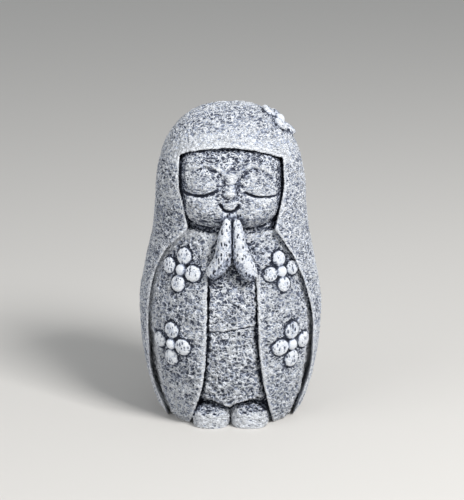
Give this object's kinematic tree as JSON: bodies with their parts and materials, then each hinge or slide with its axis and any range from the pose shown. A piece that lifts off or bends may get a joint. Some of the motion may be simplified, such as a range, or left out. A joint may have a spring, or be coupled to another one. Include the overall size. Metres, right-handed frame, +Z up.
{
  "type": "stone jizo statue",
  "caption": "Small cast stone jizo in a hood and sleeved robe, hands pressed together, standing on a flat underside.",
  "frame": {"origin": "centre of the flat underside", "axes": "+Z up along the figure, the figure looks along -Y, and +X is to the right of someone facing it"},
  "size_m": [0.085, 0.0748, 0.15],
  "materials": {
    "cast_stone": "rough cast stone, blue-grey in the hollows and brushed off-white on the ridges"
  },
  "bodies": {
    "root": {"jizo_statue": "cast_stone"}
  },
  "joints": []
}
